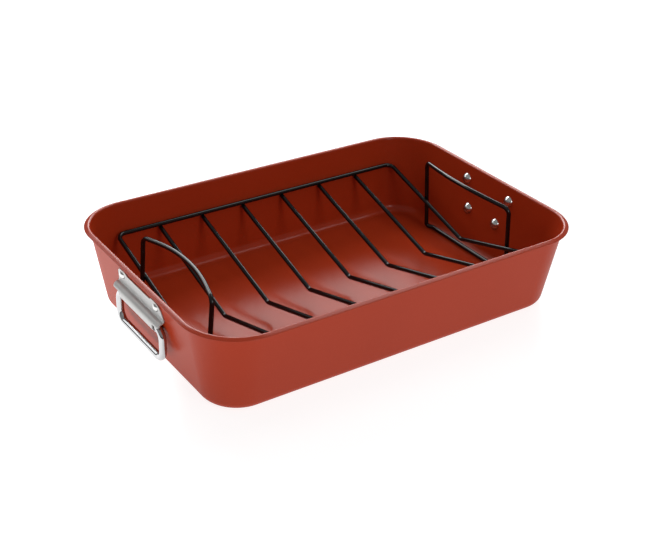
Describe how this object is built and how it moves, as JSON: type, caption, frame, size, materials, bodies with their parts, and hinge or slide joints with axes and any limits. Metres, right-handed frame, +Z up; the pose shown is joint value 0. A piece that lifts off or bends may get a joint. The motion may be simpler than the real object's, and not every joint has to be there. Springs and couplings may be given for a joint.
{
  "type": "roasting pan with rack",
  "caption": "Deep rectangular roasting pan with rounded corners, a rolled-out rim, a riveted drop handle on each short side and a lift-out V-shaped wire rack with a raised loop at each end.",
  "frame": {"origin": "centre of the pan's underside, on the surface it stands on", "axes": "+Z up out of the pan; X along the long sides, from one handle to the other; Y across the pan"},
  "size_m": [0.42, 0.289, 0.0876],
  "materials": {
    "pan_coating": "satin non-stick coating on steel sheet",
    "rack_coating": "black non-stick coating on steel wire",
    "bracket_steel": "brushed stainless sheet",
    "bail_chrome": "polished",
    "rivet_steel": "polished"
  },
  "bodies": {
    "pan": {"pan_body": "pan_coating", "handle_bracket_left": "bracket_steel", "handle_bracket_right": "bracket_steel", "rivet_upper_back_left": "rivet_steel", "rivet_upper_front_left": "rivet_steel", "rivet_lower_back_left": "rivet_steel", "rivet_lower_front_left": "rivet_steel", "rivet_upper_back_right": "rivet_steel", "rivet_upper_front_right": "rivet_steel", "rivet_lower_back_right": "rivet_steel", "rivet_lower_front_right": "rivet_steel"},
    "bail_left": {"handle_bail_left": "bail_chrome"},
    "bail_right": {"handle_bail_right": "bail_chrome"},
    "rack": {"rack_frame_wire": "rack_coating", "rack_v_wire_1": "rack_coating", "rack_v_wire_2": "rack_coating", "rack_v_wire_3": "rack_coating", "rack_v_wire_4": "rack_coating", "rack_v_wire_5": "rack_coating", "rack_v_wire_6": "rack_coating", "rack_end_loop_left": "rack_coating", "rack_end_loop_right": "rack_coating"}
  },
  "joints": [
    {"name": "left_handle_hinge", "type": "hinge", "parent": "pan", "child": "bail_left", "pos_m": [-0.20321, 0, 0.0494], "axis": [0, 1, 0], "range_deg": [-8, 85]},
    {"name": "right_handle_hinge", "type": "hinge", "parent": "pan", "child": "bail_right", "pos_m": [0.20321, 0, 0.0494], "axis": [0, -1, 0], "range_deg": [-8, 85]},
    {"name": "rack_lift_out", "type": "slide", "parent": "pan", "child": "rack", "axis": [0, 0, 1], "range_m": [0, 0.1]}
  ]
}
